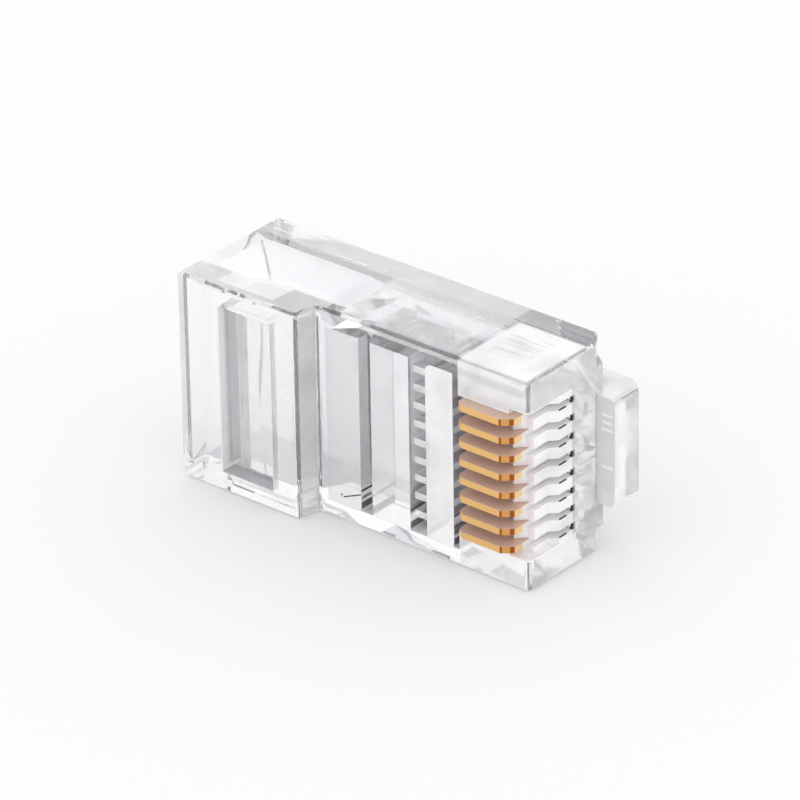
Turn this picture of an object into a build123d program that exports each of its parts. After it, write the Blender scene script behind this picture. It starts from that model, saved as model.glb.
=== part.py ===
from build123d import *
import os
from math import cos, radians, tan

# RJ45 modular plug, eight positions, clear unshielded housing, not yet crimped.
# It stands on one side wall: +X runs to the nose, -Y is the contact side,
# +Y the latch side and +Z the plug's width. All sizes are in millimetres.

# Housing
width = 11.68
length = 21.5
front_thick = 6.4
rear_step = 1.4
step_start = 7.8
step_end = 8.1
edge_chamfer = 0.15
cable_end_chamfer = 0.3
corner_round = 0.25
step_round = 0.35
side_wall = 1.0
step_reach = 0.01

# Nose, where its latch-side corner is cut back beside a wider middle
nose_flat = 5.3
nose_cut = 0.74
ridge_flat = 5.85
ridge_width = 9.1
ridge_root = 1.5
ridge_sink = 0.5

# Cable space behind the contacts, which narrows to a flat channel for the wires.
# Its mouth flares out, and its latch side is arched to let a round cable in.
entry_near = 0.1
entry_far = 4.76
entry_wall = 0.1
flare_len = 0.8
flare_near = 0.78
near_step_start = 3.1
near_step_end = 3.9
space_near = 1.17
space_far = 4.6
arch_root = 4.4
arch_mouth = 5.95
arch_mouth_half = 5.0
arch_inner = 4.65
arch_inner_half = 4.7
arch_len = 6.0
funnel_start = 7.75
funnel_end = 9.4
funnel_near = 1.7
channel_side = 1.78
channel_start_near = 2.3
channel_near = 3.65

# Window with the cable clamp bar
window_start = 2.8
window_end = 6.15
window_low = 1.15
bar_deep = 0.85
bar_slit = 0.5
bar_side_slit = 0.15
bar_hinge = 0.5
bar_through = 0.2

# Three cross slots on the contact side, and the gap that frees one end of the
# straps between them from a thin side wall
slots = [(10.74, 11.49), (13.93, 15.0), (16.72, 17.08)]
slot_low = 0.95
gap_start = 9.0
gap_wall = 0.4
strap_round = 0.4
comb_thick = 0.38
comb_cover = 0.4
comb_root = 0.2

# Wire bores
pitch = 1.016
positions = 8
bore_dia = 0.9
bore_depth = 4.12
bore_end = 20.3

# Contact blades, standing proud before they are crimped
blade_thick = 0.36
blade_rear = 17.42
blade_front = 20.8
blade_proud = 0.66
blade_bottom = 3.6
blade_slot_deep = 4.7
tooth_rise = 0.75
tooth_start = 0.5
tooth_point = 0.9
tooth_end = 1.3
blade_rear_round = 0.45
blade_bevel_len = 0.6
blade_bevel_deep = 0.54
blade_bend_len = 0.14
blade_bend_deep = 0.36
clearance = 0.02

# Nose comb
block_inner = 1.75
rib_ramp_start = 20.25
rib_ramp_end = 20.7
rib_low = 0.88
rib_front = 21.1
ledge_start = 1.95
ledge_chamfer = 0.4
nose_slot_end = 3.3

# Latch lever
latch_width = 6.02
latch_ahead = 1.15
latch_top = 7.75
latch_flat = 2.3
latch_thick = 0.95
latch_rise = 12.0
latch_arm_end = 13.2
latch_tail_end = 7.0
latch_tail_width = 3.25
latch_gap = 0.03
latch_nose_cut = 0.75
latch_nose_drop = 0.5
latch_side_round = 0.35
latch_lip = 0.2

# Frame: the origin is under the middle of the whole plug
arm_start = length + latch_ahead - latch_nose_cut - latch_flat
tail_top = latch_top + (arm_start - latch_tail_end) * tan(radians(latch_rise))
x_cable = -(length + latch_ahead) / 2
y_face = -(tail_top - rear_step) / 2
mid = width / 2
beyond = 0.5


def level(height):
    """Sketch plane at a height, with its origin at the cable end of the contact face."""
    return Plane(origin=(x_cable, y_face, height))


def section(along):
    """Sketch plane across the plug, looking along it, at a distance from the cable end."""
    return Plane(origin=(x_cable + along, y_face, 0), x_dir=(0, 1, 0), z_dir=(1, 0, 0))


def upright_plane(depth):
    """Sketch plane at a depth from the contact face, looking out of it, for cuts along Y."""
    return Plane(origin=(x_cable, y_face + depth, 0), x_dir=(1, 0, 0), z_dir=(0, -1, 0))


def rectangle(x_low, y_low, x_high, y_high):
    """Rectangle between two corners, added to the current sketch."""
    with Locations((x_low, y_low)):
        Rectangle(x_high - x_low, y_high - y_low, align=(Align.MIN, Align.MIN))


def outline(*points):
    """Closed straight-sided face through the points, added to the current sketch."""
    make_face(Wire.make_polygon(points))


def arch(top, half):
    """Low arch across the plug, from its root to its top, added to the current sketch."""
    low, high = (arch_root, mid - half), (arch_root, mid + half)
    make_face(Wire([Edge.make_three_point_arc(low, (top, mid), high), Edge.make_line(high, low)]))


def position(number):
    """Height of the middle of a contact position, counted from the bottom."""
    return mid + (number - (positions - 1) / 2) * pitch


with BuildPart() as housing:
    # Outer form of the housing, before it is hollowed
    with BuildSketch(level(0)):
        outline(
            (0, -rear_step),
            (step_start, -rear_step),
            (step_end, 0),
            (length, 0),
            (length, nose_flat),
            (length - nose_cut, front_thick),
            (0, front_thick),
        )
    extrude(amount=width)
    upright = housing.edges().filter_by(Axis.Z)
    fillet(upright.group_by(Axis.X)[0], radius=corner_round)
    step = housing.edges().filter_by(Axis.Z).filter_by_position(
        Axis.X, x_cable + step_start - step_reach, x_cable + step_end + step_reach
    )
    fillet(step, radius=step_round)
    nose_corner = housing.edges().filter_by(Axis.Z).group_by(Axis.X)[-1].sort_by(Axis.Y)[0]
    fillet(nose_corner, radius=step_round)
    chamfer(housing.faces().filter_by(Axis.Z).edges(), length=edge_chamfer)
    with BuildSketch(upright_plane(front_thick + beyond)):
        outline((0, 0), (cable_end_chamfer, 0), (0, cable_end_chamfer))
        outline((0, width), (cable_end_chamfer, width), (0, width - cable_end_chamfer))
    extrude(amount=front_thick + rear_step + 2 * beyond, mode=Mode.SUBTRACT)

    # Wider middle of the nose, which carries the latch
    with BuildSketch(level(mid - ridge_width / 2)):
        outline(
            (length - ridge_root, nose_flat - ridge_sink),
            (length, nose_flat - ridge_sink),
            (length, ridge_flat),
            (length - nose_cut, front_thick),
            (length - ridge_root, front_thick),
        )
    extrude(amount=ridge_width)

    # Flared cable entry, cable space, and the funnel and flat channel for the wires
    with BuildSketch(section(-beyond)):
        rectangle(entry_near, entry_wall, entry_far, width - entry_wall)
    with BuildSketch(section(flare_len)):
        rectangle(flare_near, side_wall, space_far, width - side_wall)
    loft(mode=Mode.SUBTRACT)
    with BuildSketch(level(side_wall)):
        outline(
            (flare_len, flare_near),
            (near_step_start, flare_near),
            (near_step_end, space_near),
            (funnel_start, space_near),
            (funnel_start, space_far),
            (flare_len, space_far),
        )
    extrude(amount=width - 2 * side_wall, mode=Mode.SUBTRACT)
    with BuildSketch(section(-beyond)):
        arch(arch_mouth, arch_mouth_half)
    with BuildSketch(section(arch_len)):
        arch(arch_inner, arch_inner_half)
    loft(mode=Mode.SUBTRACT)
    with BuildSketch(section(funnel_start)):
        rectangle(space_near, side_wall, space_far, width - side_wall)
    with BuildSketch(section(funnel_end)):
        rectangle(funnel_near, channel_side, space_far, width - channel_side)
    loft(mode=Mode.SUBTRACT)
    strap_edge = slots[0][0]
    with BuildSketch(level(channel_side)):
        outline(
            (funnel_end, funnel_near),
            (strap_edge, channel_start_near),
            (strap_edge, channel_near),
            (slots[2][1], channel_near),
            (slots[2][1], space_far),
            (funnel_end, space_far),
        )
    extrude(amount=width - 2 * channel_side, mode=Mode.SUBTRACT)

    # Window in the thick rear, with the slits that free the clamp bar at its floor
    window_high = width - window_low
    with BuildSketch(level(window_low)):
        rectangle(window_start, -rear_step - beyond, window_end, bar_deep - rear_step)
    extrude(amount=window_high - window_low, mode=Mode.SUBTRACT)
    with BuildSketch(level(window_low)):
        rectangle(window_start, -rear_step, window_start + bar_slit, space_near + bar_through)
    extrude(amount=window_high - window_low, mode=Mode.SUBTRACT)
    for low in (window_low, window_high - bar_side_slit):
        with BuildSketch(level(low)):
            rectangle(window_start, -rear_step, window_end - bar_hinge, space_near + bar_through)
        extrude(amount=bar_side_slit, mode=Mode.SUBTRACT)

    # Cross slots down to the wire channel, and the gap past the ends of the straps
    strap_top = width - side_wall
    for start, end in slots:
        with BuildSketch(level(slot_low)):
            rectangle(start, -beyond, end, channel_near)
        extrude(amount=strap_top - slot_low, mode=Mode.SUBTRACT)
    with BuildSketch(upright_plane(channel_near)):
        outline(
            (gap_start, strap_top),
            (slots[2][1], strap_top),
            (slots[2][1], width - gap_wall),
            (strap_edge, width - gap_wall),
        )
    extrude(amount=channel_near + beyond, mode=Mode.SUBTRACT)
    strap_corner = (x_cable + slots[1][1], y_face + channel_near / 2, strap_top)
    fillet(housing.edges().filter_by(Axis.Y).sort_by_distance(strap_corner)[0], radius=strap_round)

    # Comb that parts the wires in the middle slot
    start, end = slots[1]
    for number in range(positions + 1):
        with BuildSketch(level(position(number) - pitch / 2 - comb_thick / 2)):
            rectangle(start - comb_root, comb_cover, end + comb_root, channel_near)
        extrude(amount=comb_thick)

    # One round bore for each wire
    for number in range(positions):
        with BuildSketch(section(slots[2][1] - comb_root)):
            with Locations((bore_depth, position(number))):
                Circle(bore_dia / 2)
        extrude(amount=bore_end - slots[2][1] + comb_root, mode=Mode.SUBTRACT)

    # Lowered ribs between the contacts and the cut-back nose in front of them
    low = position(0) - blade_thick / 2 - clearance
    with BuildSketch(level(low)):
        rectangle(slots[2][0], -beyond, rib_ramp_start, comb_cover)
    extrude(amount=width - 2 * low, mode=Mode.SUBTRACT)
    with BuildSketch(level(block_inner)):
        outline(
            (rib_ramp_start, -beyond),
            (rib_ramp_start, comb_cover),
            (rib_ramp_end, rib_low),
            (rib_front, rib_low),
            (rib_front, ledge_start),
            (length, ledge_start + ledge_chamfer),
            (length + beyond, ledge_start + ledge_chamfer),
            (length + beyond, -beyond),
        )
    extrude(amount=width - 2 * block_inner, mode=Mode.SUBTRACT)

    # Narrow slot for each blade, open at the contact face and through the nose
    gap = blade_thick + 2 * clearance
    for number in range(positions):
        low = position(number) - gap / 2
        with BuildSketch(level(low)):
            rectangle(slots[2][0], -beyond, blade_front + clearance, blade_slot_deep)
        extrude(amount=gap, mode=Mode.SUBTRACT)
        with BuildSketch(level(low)):
            rectangle(blade_front, 0, length + beyond, nose_slot_end)
        extrude(amount=gap, mode=Mode.SUBTRACT)
        with BuildSketch(section(blade_front)):
            with Locations((nose_slot_end, position(number))):
                Circle(gap / 2)
        extrude(amount=length - blade_front + beyond, mode=Mode.SUBTRACT)
housing.part.label = "housing"


# Latch: a broad root block ahead of the nose, a flat, then an arm that rises away
latch_front = length + latch_ahead
slope = tan(radians(latch_rise))
drop = latch_thick / cos(radians(latch_rise))

with BuildPart() as latch:
    with BuildSketch(level(mid - latch_width / 2)):
        outline(
            (length + latch_gap, nose_flat),
            (latch_front, nose_flat),
            (latch_front, latch_top - latch_nose_drop),
            (latch_front - latch_nose_cut, latch_top),
            (arm_start, latch_top),
            (latch_arm_end, latch_top + (arm_start - latch_arm_end) * slope),
            (latch_arm_end, latch_top + (arm_start - latch_arm_end) * slope - drop),
            (arm_start, latch_top - drop),
            (length - nose_cut + latch_lip, front_thick + latch_gap),
            (length + latch_gap, ridge_flat + latch_gap),
        )
    extrude(amount=latch_width)
    front_sides = latch.edges().filter_by(Axis.Y).group_by(Axis.X)[-1]
    fillet(front_sides, radius=latch_side_round)
    with BuildSketch(level(mid - latch_tail_width / 2)):
        outline(
            (latch_arm_end, latch_top + (arm_start - latch_arm_end) * slope),
            (latch_tail_end, tail_top),
            (latch_tail_end, tail_top - drop),
            (latch_arm_end, latch_top + (arm_start - latch_arm_end) * slope - drop),
        )
    extrude(amount=latch_tail_width)
latch.part.label = "latch"


os.makedirs("parts", exist_ok=True)
export_step(housing.part, "parts/housing.step")
export_step(latch.part, "parts/latch.step")

# Contact blades, counted from the bottom, with two points that bite into the wire
for number in range(positions):
    with BuildPart() as contact:
        with BuildSketch(level(position(number) - blade_thick / 2)):
            with BuildLine():
                Polyline(
                    (blade_rear, blade_rear_round - blade_proud),
                    (blade_rear, blade_bottom - tooth_rise),
                    (blade_rear + tooth_start, blade_bottom - tooth_rise),
                    (blade_rear + tooth_point, blade_bottom),
                    (blade_rear + tooth_end, blade_bottom - tooth_rise),
                    (blade_front - tooth_end, blade_bottom - tooth_rise),
                    (blade_front - tooth_point, blade_bottom),
                    (blade_front - tooth_start, blade_bottom - tooth_rise),
                    (blade_front, blade_bottom - tooth_rise),
                    (blade_front, blade_bevel_deep - blade_proud),
                    (blade_front - blade_bend_len, blade_bend_deep - blade_proud),
                    (blade_front - blade_bevel_len, -blade_proud),
                    (blade_rear + blade_rear_round, -blade_proud),
                )
                RadiusArc(
                    (blade_rear + blade_rear_round, -blade_proud),
                    (blade_rear, blade_rear_round - blade_proud),
                    blade_rear_round,
                )
            make_face()
        extrude(amount=blade_thick)
    name = f"contact_{number + 1}"
    contact.part.label = name
    export_step(contact.part, f"parts/{name}.step")
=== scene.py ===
import math

import bpy
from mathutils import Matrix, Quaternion, Vector

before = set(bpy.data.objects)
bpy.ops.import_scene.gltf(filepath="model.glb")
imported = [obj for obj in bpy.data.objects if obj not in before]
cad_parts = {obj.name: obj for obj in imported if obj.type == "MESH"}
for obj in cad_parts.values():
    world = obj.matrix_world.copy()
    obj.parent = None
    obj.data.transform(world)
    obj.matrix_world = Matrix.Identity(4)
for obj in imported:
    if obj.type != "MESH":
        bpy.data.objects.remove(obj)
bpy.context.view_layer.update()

MM = 0.001

# Camera at the photograph's viewing angle
AZIMUTH = math.radians(40.02)
ELEVATION = math.radians(28.17)
ROLL = math.radians(-0.99)
DISTANCE = 319.85 * MM
TARGET = Vector((-1.325, -1.514, 5.84)) * MM
AIM_RIGHT = 0.666 * MM
AIM_UP = -0.090 * MM
LENS = 287.37

# Plug dimensions in millimetres: x from the cable end, y from the contact face, z up
CABLE_END = -11.325
CONTACT_FACE = -4.514
WIDTH = 11.68
LENGTH = 21.5
THICK = 6.4
REAR_STEP = 1.4
MID = WIDTH / 2
SLOTS = ((10.74, 11.49), (13.93, 15.0), (16.72, 17.08))
STRAP_TOP = 10.68
SLOT_DEEP = 3.65
WINDOW = (2.8, 6.15, 1.15, 10.53)
PITCH = 1.016
BLADE_FRONT = 20.8
BLADE_BEVEL = 20.2
BLADE_BEND = 20.66
LATCH_END = 22.7

# Ranges that several zones share: blades along the plug, its full height, the rows of
# contacts in that height, and the face of the latch block
BLADES_X = (16, 22)
TALL = (-0.1, WIDTH + 0.1)
CONTACT_ROWS = (1.9, 9.8)
LATCH_FACE = (5.25, 5.35)

# Colours of the clear plastic, with the grey of painted shade and streaks, and the near black of painted
# shade and a flaw
CLEAR = (0.988, 0.981, 1.0, 1)
PAINTED_SHADE_AND_STREAK_GREY = (0.45, 0.45, 0.47, 1)
PAINTED_SHADE_AND_FLAW_DARK = (0.03, 0.03, 0.035, 1)
WHITE = (1, 1, 1, 1)

# Colours of the contact metal, with painted shade on the bevel and the bends and a painted highlight on
# the tip
BROWN_DEEP = (0.68, 0.47, 0.37, 1)
BROWN_PALE = (0.86, 0.64, 0.53, 1)
BROWN_PATCH = (0.74, 0.54, 0.44, 1)
SIDE_PLATING = (0.86, 0.84, 0.83, 1)
EDGE_PLATING = (0.88, 0.86, 0.82, 1)
GOLD_EDGE = (0.86, 0.53, 0.21, 1)
GOLD_PAINTED_BEVEL_SHADE = (0.72, 0.36, 0.11, 1)
GOLD_PAINTED_TIP_HIGHLIGHT = (0.90, 0.64, 0.32, 1)
PAINTED_BEND_SHADE_BROWN = (0.36, 0.10, 0.03, 1)

# Thin flaw in the first strap: its rise along the plug, its height and half its thickness
FLAW_RISE = 0.437
FLAW_HEIGHT = 2.125
FLAW_HALF = 0.03

# Floor: half its side in metres, its drop, its own colour, and the white it adds to the view
FLOOR_HALF = 20.0
FLOOR_DROP = 0.02 * MM
FLOOR_COLOUR = (0.97, 0.97, 0.97, 1)
FLOOR_SHOWN = (0.982, 0.982, 0.982, 1)
FLOOR_SHOWN_SHARE = 0.3

# World light: its brighter side, and its strength away from that side and toward it
LIGHT_SIDE = (-0.62, 0.72, 0.3)
LIGHT_LOW = 0.90
LIGHT_HIGH = 1.10


class Nodes:
    """Builds a node tree with few words. Lengths are in millimetres on the object."""

    def __init__(self, material):
        self.tree = material.node_tree
        coords = self.add("ShaderNodeTexCoord")
        self.object = coords.outputs["Object"]
        self.place = self.split(self.object)
        self.facing = self.split(coords.outputs["Normal"])

    def add(self, kind, **settings):
        node = self.tree.nodes.new(kind)
        for key, value in settings.items():
            setattr(node, key, value)
        return node

    def feed(self, socket, value):
        if isinstance(value, bpy.types.NodeSocket):
            self.tree.links.new(value, socket)
        else:
            socket.default_value = value

    def split(self, vector):
        node = self.add("ShaderNodeSeparateXYZ")
        self.feed(node.inputs[0], vector)
        return node.outputs

    def math(self, operation, *values):
        node = self.add("ShaderNodeMath", operation=operation)
        for socket, value in zip(node.inputs, values):
            self.feed(socket, value)
        return node.outputs[0]

    def ramp(self, value, low, high, start=0.0, end=1.0):
        """Smooth step of a value from low to high."""
        node = self.add("ShaderNodeMapRange", interpolation_type="SMOOTHSTEP")
        for name, number in (("From Min", low), ("From Max", high), ("To Min", start), ("To Max", end)):
            node.inputs[name].default_value = number
        self.feed(node.inputs["Value"], value)
        return node.outputs["Result"]

    def between(self, value, low, high, soft):
        """One from low to high, and zero beyond a soft edge on each side."""
        rise = self.ramp(value, low - soft, low)
        return self.math("MULTIPLY", rise, self.ramp(value, high, high + soft, 1.0, 0.0))

    def zone(self, x, y, z, soft=0.03):
        """One inside a box of the plug and zero outside it, each side given as (low, high)."""
        result = None
        for value, (low, high), start in zip(self.place, (x, y, z), (CABLE_END, CONTACT_FACE, 0)):
            part = self.between(value, (start + low) * MM, (start + high) * MM, soft * MM)
            result = part if result is None else self.math("MULTIPLY", result, part)
        return result

    def most(self, *values):
        """Largest of the values."""
        result = values[0]
        for value in values[1:]:
            result = self.math("MAXIMUM", result, value)
        return result

    def noise(self, size, detail=2.0, seed=0.0, squeeze=(1, 1, 1)):
        """Noise whose features are about size millimetres across, and longer where squeezed less."""
        place = self.add("ShaderNodeVectorMath", operation="MULTIPLY")
        self.feed(place.inputs[0], self.object)
        place.inputs[1].default_value = squeeze
        node = self.add("ShaderNodeTexNoise", noise_dimensions="4D")
        self.feed(node.inputs["Vector"], place.outputs["Vector"])
        node.inputs["W"].default_value = seed
        node.inputs["Scale"].default_value = 1 / (size * MM)
        node.inputs["Detail"].default_value = detail
        return node.outputs["Fac"]

    def blend(self, factor, first, second):
        """Colour that goes from the first to the second with the factor."""
        node = self.add("ShaderNodeMix", data_type="RGBA")
        self.feed(node.inputs["Factor"], factor)
        for socket, colour in ((node.inputs[6], first), (node.inputs[7], second)):
            self.feed(socket, colour)
        return node.outputs[2]

    def bump(self, height, depth):
        """Surface relief: height from 0 to 1, depth in millimetres."""
        node = self.add("ShaderNodeBump")
        node.inputs["Distance"].default_value = depth * MM
        node.inputs["Strength"].default_value = 1.0
        self.feed(node.inputs["Height"], height)
        return node.outputs["Normal"]


def new_material(name):
    """Material with a Principled shader, and its nodes."""
    material = bpy.data.materials.new(name)
    material.use_nodes = True
    material.node_tree.nodes.clear()
    nodes = Nodes(material)
    skin = nodes.add("ShaderNodeBsdfPrincipled")
    out = nodes.add("ShaderNodeOutputMaterial")
    nodes.feed(out.inputs["Surface"], skin.outputs["BSDF"])
    return material, nodes, skin


def clear_plastic():
    """Clear moulded plastic: clean outside, with matt faces where the mould was matt, and painted shade
    darkening it in slots, recesses and on some faces.
    """
    material, nodes, skin = new_material("clear_plastic")
    inside = (0.9, STRAP_TOP)
    top = (WIDTH - 0.01, WIDTH + 1)
    deep = (0.05, SLOT_DEEP)
    walls = (1.05, STRAP_TOP)
    face = (-0.01, 0.03)
    window_x, window_z = WINDOW[:2], WINDOW[2:]

    # Zones of the surface: sides along x, y and z, a softness where it isn't the usual one,
    # then the share of matt finish, and the painted shade that darkens the colour toward grey
    zones = (
        (((-1, LENGTH + 2), (-REAR_STEP - 0.1, THICK + 8), TALL), 0.03, 0.0),
        # Top side wall
        (((0, 8.6), (-REAR_STEP, 1.17), top), 0.45, 0.0),
        (((2.4, 6.0), (-0.9, 0.7), top), 0.80, 0.0),
        (((0, 16.6), (4.8, THICK), top, 0.3), 0.42, 0.0),
        (((9.5, 16.6), (0.5, 4.6), top, 0.6), 0.30, 0.0),
        (((17.3, 21.2), (0.2, 4.6), top, 0.3), 0.85, 0.0),
        # Corner and face of the cable end
        (((-0.1, 0.5), (-REAR_STEP - 0.1, -1.1), TALL), 0.60, 0.0),
        # Window with its clamp bar, with painted shade on its left wall and on its floor
        ((window_x, (-0.6, -0.5), window_z), 0.45, 0.0),
        (((WINDOW[0] - 0.1, WINDOW[0] + 0.06), (-REAR_STEP, 1.4), window_z), 0.65, 0.22),
        (((WINDOW[0] + 0.1, WINDOW[0] + 0.52), (-REAR_STEP, 1.4), window_z), 0.65, 0.10),
        ((window_x, (-REAR_STEP, -0.5), (WINDOW[2] - 0.05, WINDOW[2] + 0.02)), 0.60, 0.8),
        (((WINDOW[1] - 0.04, WINDOW[1] + 0.04), (-REAR_STEP, -0.5), window_z), 0.60, 0.0),
        (((WINDOW[1] + 0.1, 7.7), (-REAR_STEP - 0.01, -REAR_STEP + 0.03), TALL), 0.30, 0.0),
        # Step, with a touch of painted shade
        (((7.85, 8.2), (-REAR_STEP + 0.2, -0.15), TALL), 0.55, 0.04),
        # Straps on the contact side and the slots between them, with painted shade on the first strap
        # and on the walls of the first and last slots
        (((8.6, SLOTS[0][0]), face, inside), 0.45, 0.36),
        (((SLOTS[0][1], SLOTS[1][0]), face, inside), 0.45, 0.0),
        (((SLOTS[1][1], SLOTS[2][0]), face, inside), 0.80, 0.0),
        (((SLOTS[0][0] - 0.04, SLOTS[0][1] + 0.04), deep, walls), 0.20, 0.90),
        (((SLOTS[1][0] - 0.04, SLOTS[1][1] + 0.04), deep, walls), 0.40, 0.0),
        (((SLOTS[2][0] - 0.04, SLOTS[2][1] + 0.04), deep, walls), 0.15, 0.55),
        (((10.7, 17.1), deep, (0.9, 1.0)), 0.90, 0.0),
        # Contact slots and nose
        (((17.05, 20.2), (0.42, 5.2), CONTACT_ROWS), 0.85, 0.0),
        (((20.2, LENGTH + 0.02), (-0.02, 3.4), (1.7, 9.98)), 0.95, 0.0),
        (((LENGTH - 0.02, LENGTH + 0.02), (0, THICK), TALL), 0.50, 0.0),
        (((17.1, LENGTH), face, TALL), 0.55, 0.0),
        # Latch, with painted shade on the face of the latch block
        (((LENGTH, LATCH_END), LATCH_FACE, TALL), 0.70, 0.40),
        (((22.6, LATCH_END), (5.35, 9), TALL), 0.45, 0.0),
        (((12, LATCH_END), (5.2, 14), (MID + 2.9, MID + 3.1)), 0.75, 0.0),
    )
    masks = [nodes.zone(*sides) for sides, share, painted_shade in zones]
    shares = [nodes.math("MULTIPLY", mask, zone[1]) for mask, zone in zip(masks, zones)]
    painted_shade_and_streaks = [nodes.math("MULTIPLY", mask, zone[2]) for mask, zone in zip(masks, zones) if zone[2]]
    drift = nodes.ramp(nodes.noise(2.5, seed=3.0), 0.3, 0.7, 0.85, 1.15)
    matt = nodes.math("MULTIPLY", nodes.most(*shares), drift)

    # Painted shade: dark lines on the edge and dark spots at the end of each contact slot where it
    # leaves the nose
    turn = nodes.math("FRACT", nodes.math("DIVIDE", nodes.place[2], PITCH * MM))
    row = nodes.math("FRACT", nodes.math("ADD", turn, 1 - (MID / PITCH) % 1))
    along_edge = nodes.zone((21.43, 21.52), (2.4, 2.95), CONTACT_ROWS)
    painted_edge_shade = nodes.math("MULTIPLY", nodes.between(row, 0.27, 0.33, 0.01), along_edge)
    at_end = nodes.zone((21.32, 21.49), (3.4, 3.6), CONTACT_ROWS)
    end = nodes.math("MULTIPLY", nodes.between(row, 0.31, 0.69, 0.01), at_end)
    painted_shade_and_flaw = nodes.most(painted_edge_shade, end)

    # Painted shade at the dark ends of the cross slots, and a thin flaw in the strap beside the first
    # one
    painted_slot_end_shade = nodes.most(*(
        nodes.zone((start - 0.03, stop + 0.03), deep, levels, 0.05)
        for start, stop in SLOTS for levels in ((1.05, 1.4), (2.0, 2.1))
    ))
    lean = nodes.math("SUBTRACT", nodes.place[2], nodes.math("MULTIPLY", nodes.place[0], FLAW_RISE))
    line = nodes.between(lean, (FLAW_HEIGHT - FLAW_HALF) * MM, (FLAW_HEIGHT + FLAW_HALF) * MM, 0.02 * MM)
    flaw = nodes.most(
        nodes.math("MULTIPLY", line, nodes.zone((9.6, 10.72), face, (1.2, 2.1))),
        nodes.zone((9.43, 9.52), face, (1.42, 1.50)),
    )
    # Painted shade and the flaw together, made matt so that their near black shows
    painted_shade_and_flaw = nodes.most(painted_shade_and_flaw, nodes.math("MULTIPLY", painted_slot_end_shade, 0.85), flaw)
    matt = nodes.most(matt, painted_shade_and_flaw)

    # Faint streaks along the top wall: matt white ones on the far part, and grey ones near the nose
    streak_pattern = nodes.ramp(nodes.noise(0.35, 1.0, 11.0, (0.1, 1, 1)), 0.52, 0.62)
    far = nodes.math("MULTIPLY", streak_pattern, nodes.zone((0.8, 9.0), (4.9, THICK), top, 0.1))
    near = nodes.math("MULTIPLY", streak_pattern, nodes.zone((17.7, 20.0), (1.8, 4.4), top, 0.1))
    matt = nodes.most(matt, nodes.math("MULTIPLY", far, 0.8))
    painted_shade_and_streaks.append(nodes.math("MULTIPLY", near, 0.3))

    # Small pale marks on the face of the latch block
    marks = nodes.most(*(
        nodes.zone((21.9, 22.5), LATCH_FACE, (height - 0.05, height + 0.05), 0.05)
        for height in (5.0, 7.1, 7.5, 7.9)
    ))
    # Colour: the clear tint, darkened toward grey by painted shade and the near streaks, then near black
    # for dark painted shade and the flaw, then the pale marks
    colour_and_painted_shade = nodes.blend(nodes.most(*painted_shade_and_streaks), CLEAR, PAINTED_SHADE_AND_STREAK_GREY)
    colour_and_painted_shade = nodes.blend(painted_shade_and_flaw, colour_and_painted_shade, PAINTED_SHADE_AND_FLAW_DARK)
    colour_and_painted_shade = nodes.blend(marks, colour_and_painted_shade, WHITE)

    nodes.feed(skin.inputs["Base Color"], colour_and_painted_shade)
    nodes.feed(skin.inputs["Transmission Weight"], nodes.math("SUBTRACT", 1.0, matt))

    skin.inputs["Roughness"].default_value = 0.02
    skin.inputs["IOR"].default_value = 1.585
    nodes.feed(skin.inputs["Normal"], nodes.bump(nodes.noise(3.0, 1.0, 7.0), 0.004))
    return material


def contact_metal():
    """Bronze blade: brown rolled sides, a gold-plated outer edge and bright plating below it, with
    painted shade on the bevel and the bends and a painted highlight on the tip.
    """
    material, nodes, skin = new_material("contact_metal")
    across = (-1, 8)
    side = nodes.ramp(nodes.math("ABSOLUTE", nodes.facing[2]), 0.4, 0.8)
    inner = nodes.zone(BLADES_X, (1.0, 8), TALL, 0.3)
    brown = nodes.blend(nodes.noise(0.35, 4.0), BROWN_DEEP, BROWN_PALE)
    brown = nodes.blend(nodes.noise(1.2, 3.0, 5.0), brown, BROWN_PATCH)
    brown = nodes.blend(inner, brown, SIDE_PLATING)

    # Painted shade: the gold is darker on the bevel face
    painted_bevel_shade = nodes.zone((BLADE_BEVEL, BLADE_FRONT - 0.06), across, TALL)
    # Painted highlight: the gold is lighter on the front tip
    painted_tip_highlight = nodes.zone((BLADE_FRONT - 0.03, BLADE_FRONT + 0.1), across, TALL)
    # Painted shade: a dark brown line along each bend
    painted_bend_shade = nodes.most(
        nodes.zone((BLADE_BEVEL - 0.02, BLADE_BEVEL + 0.04), across, TALL, 0.05),
        nodes.zone((BLADE_BEND - 0.06, BLADE_BEND + 0.05), (-0.5, -0.2), TALL, 0.05),
    )
    below = nodes.zone(BLADES_X, (0.4, 8), TALL, 0.15)
    gold_and_painted_light = nodes.blend(painted_bevel_shade, GOLD_EDGE, GOLD_PAINTED_BEVEL_SHADE)
    gold_and_painted_light = nodes.blend(painted_tip_highlight, gold_and_painted_light, GOLD_PAINTED_TIP_HIGHLIGHT)
    gold_and_painted_light = nodes.blend(below, gold_and_painted_light, EDGE_PLATING)
    gold_and_painted_light = nodes.blend(painted_bend_shade, gold_and_painted_light, PAINTED_BEND_SHADE_BROWN)

    nodes.feed(skin.inputs["Base Color"], nodes.blend(side, gold_and_painted_light, brown))
    nodes.feed(skin.inputs["Metallic"], nodes.math("SUBTRACT", 1.0, nodes.math("MULTIPLY", side, 0.85)))
    nodes.feed(skin.inputs["Roughness"], nodes.ramp(side, 0.0, 1.0, 0.3, 0.5))
    nodes.feed(skin.inputs["Normal"], nodes.bump(nodes.noise(0.08, 2.0), 0.002))
    return material


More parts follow.
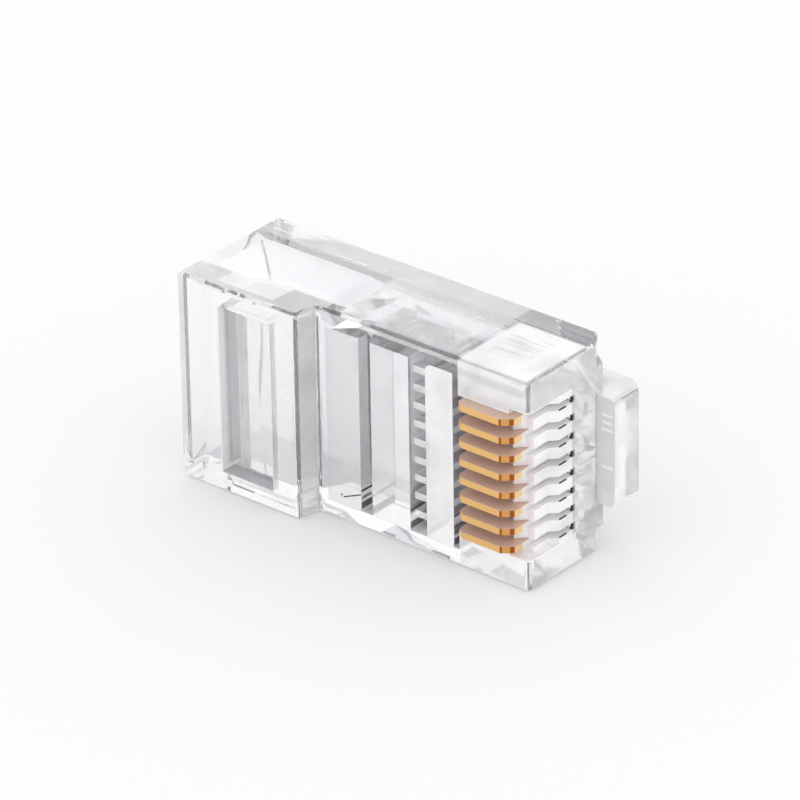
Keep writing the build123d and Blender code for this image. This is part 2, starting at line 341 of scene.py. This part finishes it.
def make_camera():
    """Camera at the photograph's angle, aimed so that the plug sits where it does there."""
    back = Vector((
        math.sin(AZIMUTH) * math.cos(ELEVATION),
        -math.cos(AZIMUTH) * math.cos(ELEVATION),
        math.sin(ELEVATION),
    ))
    turn = (-back).to_track_quat("-Z", "Y") @ Quaternion((0, 0, 1), ROLL)
    aim = TARGET + turn @ Vector((AIM_RIGHT, AIM_UP, 0))
    data = bpy.data.cameras.new("camera")
    data.lens = LENS
    data.clip_start = 0.01
    data.clip_end = 50
    camera = bpy.data.objects.new("camera", data)
    camera.rotation_mode = "QUATERNION"
    camera.location = aim + back * DISTANCE
    camera.rotation_quaternion = turn
    bpy.context.scene.collection.objects.link(camera)
    bpy.context.scene.camera = camera


def make_floor():
    """White floor under the plug that keeps a light shadow."""
    mesh = bpy.data.meshes.new("floor")
    corners = [(x * FLOOR_HALF, y * FLOOR_HALF, 0) for x, y in ((-1, -1), (1, -1), (1, 1), (-1, 1))]
    mesh.from_pydata(corners, [], [(0, 1, 2, 3)])
    floor = bpy.data.objects.new("floor", mesh)
    floor.location.z = -FLOOR_DROP
    bpy.context.scene.collection.objects.link(floor)
    material = bpy.data.materials.new("floor")
    material.use_nodes = True
    material.node_tree.nodes.clear()
    nodes = Nodes(material)
    matt = nodes.add("ShaderNodeBsdfDiffuse")
    matt.inputs["Color"].default_value = FLOOR_COLOUR
    white = nodes.add("ShaderNodeEmission")
    white.inputs["Color"].default_value = FLOOR_SHOWN
    path = nodes.add("ShaderNodeLightPath")
    seen = nodes.most(
        path.outputs["Is Camera Ray"], path.outputs["Is Glossy Ray"], path.outputs["Is Transmission Ray"]
    )
    mix = nodes.add("ShaderNodeMixShader")
    nodes.feed(mix.inputs["Fac"], nodes.math("MULTIPLY", seen, FLOOR_SHOWN_SHARE))
    nodes.feed(mix.inputs[1], matt.outputs["BSDF"])
    nodes.feed(mix.inputs[2], white.outputs["Emission"])
    out = nodes.add("ShaderNodeOutputMaterial")
    nodes.feed(out.inputs["Surface"], mix.outputs["Shader"])
    mesh.materials.append(material)


def make_world():
    """Soft studio light, brighter from behind on the left."""
    world = bpy.data.worlds.new("world")
    bpy.context.scene.world = world
    world.use_nodes = True
    tree = world.node_tree
    tree.nodes.clear()
    out = tree.nodes.new("ShaderNodeOutputWorld")
    light = tree.nodes.new("ShaderNodeBackground")
    light.inputs["Color"].default_value = (1, 1, 1, 1)
    coords = tree.nodes.new("ShaderNodeTexCoord")
    toward = tree.nodes.new("ShaderNodeVectorMath")
    toward.operation = "DOT_PRODUCT"
    toward.inputs[1].default_value = LIGHT_SIDE
    ramp = tree.nodes.new("ShaderNodeMapRange")
    limits = (("From Min", -1.0), ("From Max", 1.0), ("To Min", LIGHT_LOW), ("To Max", LIGHT_HIGH))
    for name, number in limits:
        ramp.inputs[name].default_value = number
    tree.links.new(coords.outputs["Generated"], toward.inputs[0])
    tree.links.new(toward.outputs["Value"], ramp.inputs["Value"])
    tree.links.new(ramp.outputs["Result"], light.inputs["Strength"])
    tree.links.new(light.outputs["Background"], out.inputs["Surface"])


make_camera()
make_floor()
make_world()

plastic = clear_plastic()
metal = contact_metal()
for name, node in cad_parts.items():
    node.data.materials.clear()
    node.data.materials.append(metal if name.startswith("contact") else plastic)

scene = bpy.context.scene
scene.view_settings.view_transform = "Standard"
scene.cycles.max_bounces = 48
scene.cycles.transmission_bounces = 48
scene.cycles.glossy_bounces = 32
scene.cycles.diffuse_bounces = 32
